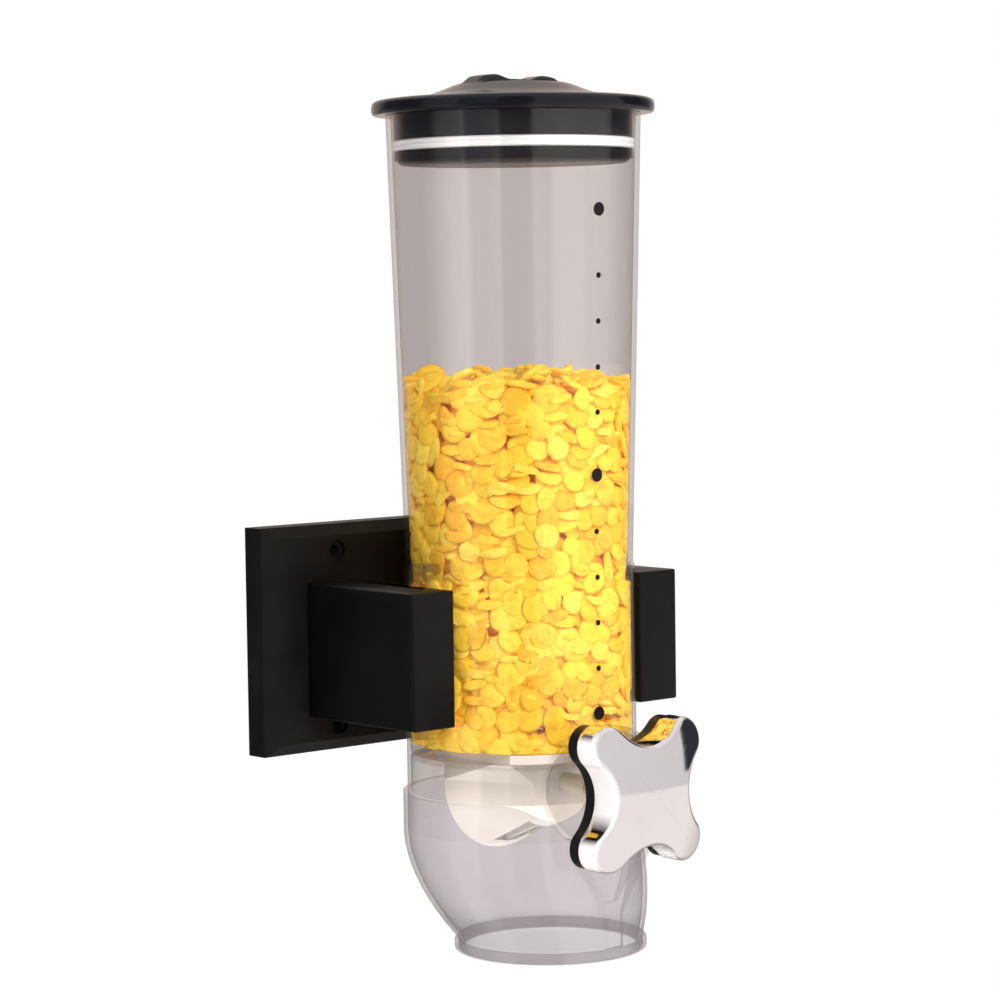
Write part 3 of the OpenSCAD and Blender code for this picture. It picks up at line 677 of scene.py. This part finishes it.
def make_knob():
    outer, inner = knob_outer(), knob_inner()
    rings = outer + inner
    count, split_at, total = len(outer[0]), len(outer), len(rings)
    verts = [p for ring in rings for p in ring]
    faces = []
    for j in range(total - 1):
        if j != split_at - 1:              # the two skins meet only at the back edge
            faces += strip(j, j + 1, count)
    faces += strip(total - 1, 0, count)
    # fans that close the middle of each skin
    centre = len(verts)
    verts.append((KNOB_X, AXIS_Y - CROWN * MM, KNOB_Z))
    verts.append((KNOB_X, AXIS_Y - (CROWN - KNOB_WALL) * MM, KNOB_Z))
    front, inside = (split_at - 1) * count, split_at * count
    for k in range(count):
        k_next = (k + 1) % count
        faces.append((front + k, front + k_next, centre))
        faces.append((inside + k_next, inside + k, centre + 1))
    ob = new_mesh("knob_cap", verts, faces)
    install(ob, "knob_chrome", "knob_shell", "rotor")


make_knob()

# ---------------------------------------------------------------- lid
# top outline before smoothing: (radius, height), mm
LID_PROFILE = [
    (0, 390.2), (6, 390.16), (12, 390.0), (18, 389.6), (23, 388.8), (27, 387.6), (31, 386.0),
    (35, 384.5), (39, 383.3), (44, 382.6), (50, 382.1), (56, 381.7), (60, 381.3), (61.8, 380.9),
    (62.8, 380.3), (63.4, 379.4), (LID_R, 378.2)]
# rim, underside, skirt of the plug and the hollow inside it: (radius, height), mm
LID_UNDER = [
    (LID_R, 378.0), (LID_R, 376.6), (63.45, 375.8), (63.1, 375.1), (62.5, 374.7),
    (61.8, 374.6), (58.5, 374.6), (55.2, 374.6), (PLUG_R + 0.35, 374.5),
    (PLUG_R + 0.2, 374.0), (PLUG_R + 0.1, 369.0), (PLUG_R, GROOVE_Z + 5.5),
    (PLUG_R - 0.3, GROOVE_Z + 5.0), (PLUG_R - 2.3, GROOVE_Z + 5.0),
    (PLUG_R - 2.6, GROOVE_Z + 4.7), (PLUG_R - 2.6, GROOVE_Z + 0.9),
    (PLUG_R - 2.8, GROOVE_Z + 0.6), (PLUG_R - 5.0, GROOVE_Z + 0.6),
    (PLUG_R - 5.2, GROOVE_Z + 0.9), (PLUG_R - 5.2, 377.6), (PLUG_R - 6.4, 378.6),
    (24, 380.3), (0.001, 380.5)]


def smoothed_lid():
    """resampled top outline, smoothed inside the rim, as radii and heights"""
    radii = np.linspace(0, LID_R, 600)
    raw = np.interp(radii, *zip(*LID_PROFILE))
    kernel = np.hanning(41)
    kernel /= kernel.sum()
    padded = np.concatenate([raw[20:0:-1], raw, np.full(20, raw[-1])])
    heights = np.convolve(padded, kernel, "valid")
    rim = radii > 60.5
    heights[rim] = raw[rim]
    return radii, heights


def lid_height(x, y, profile):
    """smoothed outline with a well each side of a grip bar along x that has raised ends"""
    r = math.hypot(x, y)
    height = float(np.interp(r, *profile))
    well = (1 - smoothstep(20.8, 24.8, r)) * smoothstep(5.2, 7.4, abs(y))
    floor = 385.6 + 0.9 * (r / 22) ** 2
    height = height * (1 - well) + min(height, floor) * well
    bar = 1 - smoothstep(4.6, 7.0, abs(y))
    ends = smoothstep(5, 14.5, abs(x)) * (1 - smoothstep(20.0, 27.0, abs(x)))
    return height + 2.25 * ends * bar


def make_lid():
    count = 256
    profile = smoothed_lid()
    radii = [0.001] + [0.8 + 27.5 * i / 46 for i in range(47)]
    radii += [29.3 + (59.5 - 29.3) * i / 22 for i in range(23)]
    radii += [60.3, 61.1, 61.8, 62.3, 62.8, 63.1, 63.35, 63.5]
    rings = []
    for r in radii:
        ring = circle(r, 0.0, count, 0.0)
        rings.append([(x * MM, AXIS_Y + y * MM, MOUTH_Z + lid_height(x, y, profile) * MM)
                      for x, y, _ in ring])
    ob = skin("lid_top", rings + lathe(LID_UNDER, count))
    ob.data.set_sharp_from_angle(angle=math.radians(50))
    # closes the two pinholes on the axis
    add_weld(ob, 0.00001)
    install(ob, "lid_black", "lid_cover", "lid")


make_lid()


def make_seal():
    """ring with two lips round the plug"""
    root, foot = PLUG_R - 2.5, GROOVE_Z
    section = [
        (root, foot + 0.1), (PLUG_R - 0.2, foot + 0.1),
        (SEAL_R - 0.1, foot + 0.6), (SEAL_R, foot + 1.2), (SEAL_R - 0.1, foot + 1.8),
        (PLUG_R + 0.1, foot + 2.3), (PLUG_R + 0.1, foot + 2.7),
        (SEAL_R - 0.1, foot + 3.2), (SEAL_R, foot + 3.8), (SEAL_R - 0.1, foot + 4.4),
        (PLUG_R - 0.2, foot + 4.9), (root, foot + 4.9)]
    section = round_corners(section, [0.35] * len(section), steps=3)
    ob = skin("lid_seal_lips", lathe(section, 224), loop=True)
    install(ob, "seal_silicone", "lid_seal", "lid")


make_seal()


# ---------------------------------------------------------------- bracket arms
def arm_outline(side):
    """level section with the rail groove in its inner face; side is 1 right, -1 left"""
    inner, outer, front, back = arm_lo.x, arm_hi.x, arm_lo.y, arm_hi.y
    groove_half, groove_floor = 4.25 * MM, inner + 4.9 * MM
    corners = [                            # (x, y, rounding in mm)
        (inner, front, 1.3), (outer, front, 1.6), (outer, back, 0.15), (inner, back, 0.15),
        (inner, AXIS_Y + groove_half, 0.5), (groove_floor, AXIS_Y + groove_half, 0.2),
        (groove_floor, AXIS_Y - groove_half, 0.2), (inner, AXIS_Y - groove_half, 0.5)]
    outline = round_corners([(x, y) for x, y, _ in corners], [r * MM for _, _, r in corners],
                            steps=5)
    return outline if side > 0 else [(-x, y) for x, y in reversed(outline)]


def arm_ring(outline, inset, z):
    """the outline moved inwards, never beyond the back face"""
    ring = []
    for i in range(len(outline)):
        before, here = Vector(outline[i - 1]), Vector(outline[i])
        after = Vector(outline[(i + 1) % len(outline)])
        along = (after - here).normalized() + (here - before).normalized()
        along.normalize()
        ring.append((here.x - along.y * inset, min(here.y + along.x * inset, arm_hi.y), z))
    return ring


def make_arm(name, node, side):
    edge = 0.9 * MM
    outline = arm_outline(side)
    turns = [math.pi / 2 * i / 4 for i in range(5)]
    rings = [arm_ring(outline, edge - edge * math.cos(t), arm_lo.z + edge - edge * math.sin(t))
             for t in reversed(turns)]
    rings += [arm_ring(outline, edge - edge * math.cos(t), arm_hi.z - edge + edge * math.sin(t))
              for t in turns]
    ob = skin(name, rings, caps=True)
    ob.data.set_sharp_from_angle(angle=math.radians(40))
    install(ob, "arm_black", node, "bracket")


make_arm("arm_right_box", "right_arm", 1)
make_arm("arm_left_box", "left_arm", -1)

# ---------------------------------------------------------------- cereal
# clear walls, mm
TUBE_WALL, BODY_WALL, WALL_GAP = 2.2, 1.6, 0.15
SPIGOT_Z = (tube_lo.z - MOUTH_Z) / MM      # foot of the canister, inside the body
NECK_Z, TAPER_FOOT_Z, TAPER_Z = 167, 172, 176
TUBE_TOP_Z = (tube_hi.z - MOUTH_Z) / MM
TAPER_RISE = 202
# what the flakes keep clear of, mm; y is from the axis
FLANGE_HALF = half_width(hopper_box) + 0.6
FLANGE_BACK = (hopper_hi.y - AXIS_Y) / MM + 0.6
HOPPER_TOP = (hopper_hi.z - MOUTH_Z) / MM
SHELF_Z = 92.55
WHEEL_CLEAR_R = (wheel_hi.z - wheel_lo.z) / 2 / MM + 0.8
WHEEL_Z = (KNOB_Z - MOUTH_Z) / MM
WHEEL_FRONT = (wheel_lo.y - AXIS_Y) / MM - 1.5
WHEEL_BACK = (wheel_hi.y - AXIS_Y) / MM + 1.5

FLAKE_PITCH = 9.6                          # along a row of a shell
# (distance in from the wall, row height, share of flakes that face outwards)
SHELLS = [(2.0, 7.4, 0.76), (4.8, 7.4, 0.76), (8.2, 7.0, 0.45), (12.0, 7.0, 0.45),
          (16.5, 7.0, 0.45)]
FLAKE_SIDES = 16
FLAKE_TURNS = np.arange(FLAKE_SIDES) * 2 * math.pi / FLAKE_SIDES
# rings of a flake from top to bottom: (share of its size, share of its half thickness)
FLAKE_RINGS = [(0.5, 0.96), (0.84, 0.72), (1.0, 0.0), (0.84, -0.72), (0.5, -0.96)]


def inner_radius(z):
    """inside radius of the clear walls at a height"""
    foot_r = BODY_R - 0.7
    if z >= TAPER_Z:
        rise = (z - TAPER_FOOT_Z) / (TUBE_TOP_Z - TAPER_FOOT_Z)
        return foot_r + (TUBE_R - foot_r) * rise - TUBE_WALL
    neck_r = BODY_R - BODY_WALL - WALL_GAP - TUBE_WALL
    if z >= NECK_Z:
        taper_r = foot_r + (TUBE_R - foot_r) * (TAPER_Z - TAPER_FOOT_Z) / TAPER_RISE - TUBE_WALL
        return neck_r + (taper_r - neck_r) * (z - NECK_Z) / (TAPER_Z - NECK_Z)
    if z >= SPIGOT_Z:
        return neck_r
    return BODY_R - BODY_WALL


def flake_spots(rng):
    """(angle, radius, height, share facing outwards, lies level) of every flake"""
    spots = []
    # shells against the wall, outermost first
    for depth, row_height, outward in SHELLS:
        z = 93.0
        row = 0
        while z < 254:
            r = inner_radius(z) - depth
            count = int(2 * math.pi * r / FLAKE_PITCH)
            phase = rng.rand() * 7
            for k in range(count):
                angle = 2 * math.pi * (k + 0.5 * (row % 2)) / count + phase
                spots.append((angle + rng.normal(0, 0.045), r + rng.normal(0, 0.6),
                              z + rng.normal(0, 1.7), outward, False))
            z += row_height
            row += 1
    # heap across the top
    for layer in range(3):
        z = 255.0 - 3.4 * layer
        for _ in range(72):
            r = 49 * math.sqrt(rng.rand())
            angle = rng.rand() * 2 * math.pi
            height = z + rng.normal(0, 0.9) + 2.2 * (1 - (r / 49) ** 2)
            spots.append((angle, r, height, 0.45, True))
    # floor round the hopper mouth
    for _ in range(170):
        r = 20 + 27 * math.sqrt(rng.rand())
        angle = rng.rand() * 2 * math.pi
        spots.append((angle, r, 93 + rng.rand() * 8, 0.45, True))
    return spots


def flake_points(rng, angle, radius, height, outward, level):
    """top centre, five rings and bottom centre of one bent, uneven disc"""
    size = rng.uniform(6.0, 7.3) if rng.rand() < 0.8 else rng.uniform(4.8, 6.0)
    thick = rng.uniform(1.35, 1.8)
    radial = np.array([math.cos(angle), math.sin(angle), 0.0])
    up = np.array([0, 0, 1.0])
    faces_out = rng.rand() < outward
    if level:
        normal = up + 0.40 * rng.normal(size=3) + 0.25 * radial
    elif faces_out:
        normal = radial + 0.22 * rng.normal(size=3) + 0.16 * up
    else:
        normal = up + 0.5 * radial * rng.rand() + 0.22 * rng.normal(size=3)
    normal /= np.linalg.norm(normal)
    across = np.cross(normal, rng.normal(size=3))
    across /= np.linalg.norm(across)
    along = np.cross(normal, across)
    stretch = rng.uniform(0.88, 1.0)
    phase_2, phase_3 = rng.rand(2) * 6.28
    wobble_2, wobble_3 = rng.uniform(0.0, 0.045), rng.uniform(0.0, 0.03)
    cup = rng.normal(0, 0.20)
    saddle = rng.normal(0, 0.16)
    wobble = (1 + wobble_2 * np.cos(2 * FLAKE_TURNS + phase_2)
              + wobble_3 * np.cos(3 * FLAKE_TURNS + phase_3))

    def ring(share, lift):
        x = size * share * wobble * np.cos(FLAKE_TURNS)
        y = size * stretch * share * wobble * np.sin(FLAKE_TURNS)
        z = (lift + cup * (share * share - 0.4)
             + saddle * share * share * np.cos(2 * FLAKE_TURNS + phase_3))
        return x[:, None] * across + y[:, None] * along + z[:, None] * normal

    parts = [(normal * (thick + cup * -0.4))[None, :]]
    parts += [ring(share, thick * lift) for share, lift in FLAKE_RINGS]
    parts.append((normal * (-thick + cup * -0.4))[None, :])
    centre = np.array([radius * math.cos(angle), radius * math.sin(angle), height])
    return np.concatenate(parts) + centre


def hold_inside(points):
    """presses points inside the clear wall and above the shelf or the hopper flange"""
    for _ in range(2):
        distance = np.hypot(points[:, 0], points[:, 1])
        limit = np.array([inner_radius(z) for z in points[:, 2]]) - 0.25
        over = distance > limit
        points[over, :2] *= (limit[over] / distance[over])[:, None]
        on_flange = (np.abs(points[:, 0]) < FLANGE_HALF) & (points[:, 1] < FLANGE_BACK)
        floor = np.where(on_flange, HOPPER_TOP + 0.25, SHELF_Z)
        points[:, 2] = np.maximum(points[:, 2], floor)


def flake_fits(points):
    """false for flakes pressed flat or touching the paddle wheel"""
    if points[:, 2].max() - points[:, 2].min() < 0.8:
        return False
    distance = np.hypot(points[:, 0], points[:, 2] - WHEEL_Z)
    beside = (points[:, 1] > WHEEL_FRONT) & (points[:, 1] < WHEEL_BACK)
    return not ((distance < WHEEL_CLEAR_R) & beside).any()


def flake_faces(top):
    """faces of a flake whose first vertex is top"""
    faces = []
    first, bottom = top + 1, top + 1 + 5 * FLAKE_SIDES
    for k in range(FLAKE_SIDES):
        k_next = (k + 1) % FLAKE_SIDES
        faces.append((top, first + k, first + k_next))
        for j in range(4):
            a = first + j * FLAKE_SIDES
            b = a + FLAKE_SIDES
            faces.append((a + k, b + k, b + k_next, a + k_next))
        last = bottom - FLAKE_SIDES
        faces.append((last + k_next, last + k, bottom))
    return faces


def make_cereal():
    rng = np.random.RandomState(7)
    verts, faces = [], []
    for spot in flake_spots(rng):
        points = flake_points(rng, *spot)
        hold_inside(points)
        if flake_fits(points):
            faces += flake_faces(len(verts))
            verts.extend((points * MM + np.array([0, AXIS_Y, MOUTH_Z])).tolist())
    ob = new_mesh("cereal_flakes", verts, faces)
    dress(ob, "cereal_yellow")
    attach(ob, "canister")


make_cereal()


# ---------------------------------------------------------------- floor
def floor_material():
    """pale floor that fades to pure white away from the middle, for the camera only"""
    material, nt, out = tree("floor_pale")
    matt = add(nt, "BsdfDiffuse", {"Color": (0.93, 0.92, 0.915)}).outputs[0]
    white = add(nt, "Emission", {"Color": 1.0, "Strength": 1.0}).outputs[0]
    distance = vector_math(nt, "LENGTH", place(nt))
    fade = map_range(nt, distance, (0.25, 0.8), smooth=True)
    seen = add(nt, "LightPath").outputs["Is Camera Ray"]
    fade = math_node(nt, "MULTIPLY", fade, seen)
    feed(nt, out.inputs["Surface"], mix_shader(nt, fade, matt, white))
    return material


def make_floor():
    radii = (0.002, 0.15, 0.3, 0.45, 0.6, 0.9, 1.5, 3, 8, 30, 120)
    ob = skin("floor", [circle(r, CAD_BOX[0].z - 0.17, 96) for r in radii])
    ob.data.materials.append(floor_material())
    ob.visible_glossy = False


make_floor()

# ---------------------------------------------------------------- world
# soft light for matt surfaces: (height of the direction, colour)
SOFT_LIGHT = [(0.0, (0.60, 0.585, 0.58)), (0.25, (0.56, 0.545, 0.54)),
              (0.8, (0.9, 0.89, 0.88)), (1.0, (1.0, 0.99, 0.98))]
# walls of the room that shiny surfaces see: (degrees from the camera, colour)
ROOM_WALLS = [
    (-180, (0.72, 0.60, 0.53)), (-140, (0.60, 0.51, 0.46)), (-125, (0.10, 0.10, 0.11)),
    (-81, (0.07, 0.07, 0.08)), (-75, (0.50, 0.50, 0.52)), (-50, (0.66, 0.66, 0.68)),
    (-47.5, (1.1, 1.1, 1.1)), (-45, (0.30, 0.31, 0.44)), (-22, (0.42, 0.43, 0.52)),
    (-14, (0.58, 0.58, 0.60)), (-11.5, (0.17, 0.13, 0.14)), (15, (0.13, 0.10, 0.11)),
    (18.5, (0.80, 0.78, 0.78)), (48, (0.88, 0.86, 0.86)), (54, (0.80, 0.79, 0.80)),
    (70, (0.78, 0.735, 0.735)), (104, (0.76, 0.72, 0.72)), (116, (0.10, 0.10, 0.12)),
    (142, (0.12, 0.12, 0.13)), (160, (0.70, 0.59, 0.53)), (180, (0.72, 0.60, 0.53))]
# the table below them, same columns
ROOM_TABLE = [
    (-180, (0.42, 0.40, 0.38)), (-125, (0.30, 0.29, 0.28)), (-84, (0.10, 0.10, 0.11)),
    (-74, (0.80, 0.79, 0.80)), (-48, (0.86, 0.85, 0.86)), (-42, (0.28, 0.28, 0.38)),
    (-14, (0.26, 0.26, 0.36)), (-8, (0.22, 0.18, 0.18)), (12, (0.22, 0.18, 0.18)),
    (18, (0.88, 0.84, 0.83)), (40, (0.98, 0.91, 0.90)), (104, (1.0, 0.93, 0.92)),
    (118, (0.62, 0.58, 0.57)), (150, (0.45, 0.42, 0.41)), (180, (0.42, 0.40, 0.38))]
# where the dark screen stands: (degrees from the camera, mask), (half of 1 + height, mask)
SCREEN_ROUND = [(-180, 0.0), (98.5, 0.0), (100, 1.0), (128, 1.0), (132, 0.0)]
SCREEN_UP = [(0.0, 0.0), (0.458, 0.0), (0.466, 1.0), (0.72, 1.0), (0.76, 0.0)]


def reflected_room(nt, direction, z):
    turn = bearing(nt, direction)
    walls = ramp(nt, turn, bearing_stops(ROOM_WALLS))
    table = ramp(nt, turn, bearing_stops(ROOM_TABLE))
    room = mix_rgb(nt, "MIX", map_range(nt, z, (-0.142, -0.126)), table, walls)
    ceiling = map_range(nt, z, (0.45, 0.75), smooth=True)
    room = mix_rgb(nt, "MIX", ceiling, room, (0.92, 0.90, 0.89))
    # one dark screen to the right, seen in the knob's upper lobe
    height = math_node(nt, "MULTIPLY", math_node(nt, "ADD", z, 1.0), 0.5)
    screen = mix_rgb(nt, "MULTIPLY", 1.0, ramp(nt, turn, bearing_stops(SCREEN_ROUND)),
                     ramp(nt, height, SCREEN_UP))
    screen = add(nt, "RGBToBW", {0: screen}).outputs[0]
    return mix_rgb(nt, "MIX", screen, room, (0.035, 0.037, 0.042))


def make_world():
    """plain white to the camera, the room to glossy rays, soft light to the rest"""
    world = bpy.data.worlds.new("studio")
    scene.world = world
    world.use_nodes = True
    nt = world.node_tree
    nt.nodes.clear()
    direction = add(nt, "TexCoord").outputs["Generated"]
    z = split(nt, direction)["Z"]
    colours = (ramp(nt, z, SOFT_LIGHT), reflected_room(nt, direction, z), 1.0)
    soft, room, white = [add(nt, "Background", {"Color": c, "Strength": 1.0}).outputs[0]
                         for c in colours]
    rays = add(nt, "LightPath").outputs
    surface = mix_shader(nt, rays["Is Glossy Ray"], soft, room)
    surface = mix_shader(nt, rays["Is Camera Ray"], surface, white)
    add(nt, "OutputWorld", {"Surface": surface})


make_world()

# ---------------------------------------------------------------- lights
LIGHT_TARGET = Vector((0, AXIS_Y, 0.05))
# (name, place, width, height, power in watts, colour)
LIGHTS = [
    ("key", (-0.55, -1.35, 0.85), 0.7, 0.9, 30, (1.0, 0.985, 0.96)),
    ("fill_right", (1.1, -1.1, 0.45), 0.5, 1.1, 11, (1.0, 0.98, 0.97)),
    ("top", (0.1, -0.15, 1.35), 0.9, 0.9, 16, (1.0, 0.99, 0.98)),
    ("back_left", (-1.0, 0.9, 0.5), 0.35, 1.2, 5, (1, 1, 1))]


def make_light(name, location, width, height, power, colour):
    light = bpy.data.lights.new(name, "AREA")
    light.energy = power
    light.color = colour
    light.shape = "RECTANGLE"
    light.size = width
    light.size_y = height
    ob = bpy.data.objects.new(name, light)
    scene.collection.objects.link(ob)
    ob.location = location
    ob.rotation_mode = "QUATERNION"
    ob.rotation_quaternion = (LIGHT_TARGET - Vector(location)).to_track_quat("-Z", "Y")
    ob.visible_camera = False
    ob.visible_glossy = False


for light_row in LIGHTS:
    make_light(*light_row)

# ---------------------------------------------------------------- camera
CAMERA_AT = (-0.94308, -1.14851, 0.16080)
CAMERA_TURN = math.radians(40.836)         # from +Y towards +X
CAMERA_DIP = math.radians(3.972)           # below level
CAMERA_ROLL = math.radians(-0.830)


def make_camera():
    data = bpy.data.cameras.new("camera")
    camera = bpy.data.objects.new("camera", data)
    scene.collection.objects.link(camera)
    data.sensor_width = 36
    data.lens = 114.23
    data.clip_start, data.clip_end = 0.01, 200
    forward = Vector((math.sin(CAMERA_TURN) * math.cos(CAMERA_DIP),
                      math.cos(CAMERA_TURN) * math.cos(CAMERA_DIP), -math.sin(CAMERA_DIP)))
    level = Vector((math.cos(CAMERA_TURN), -math.sin(CAMERA_TURN), 0))
    upright = level.cross(forward)
    right = level * math.cos(CAMERA_ROLL) + upright * math.sin(CAMERA_ROLL)
    up = -level * math.sin(CAMERA_ROLL) + upright * math.cos(CAMERA_ROLL)
    rows = [(right[i], up[i], -forward[i], CAMERA_AT[i]) for i in range(3)]
    camera.matrix_world = Matrix(rows + [(0, 0, 0, 1)])
    scene.camera = camera


make_camera()

# ---------------------------------------------------------------- render settings
scene.view_settings.view_transform = "Standard"
scene.view_settings.look = "None"
scene.cycles.transparent_max_bounces = 48
scene.cycles.max_bounces = 12
scene.cycles.diffuse_bounces = 5
scene.cycles.glossy_bounces = 5
scene.cycles.use_denoising = True
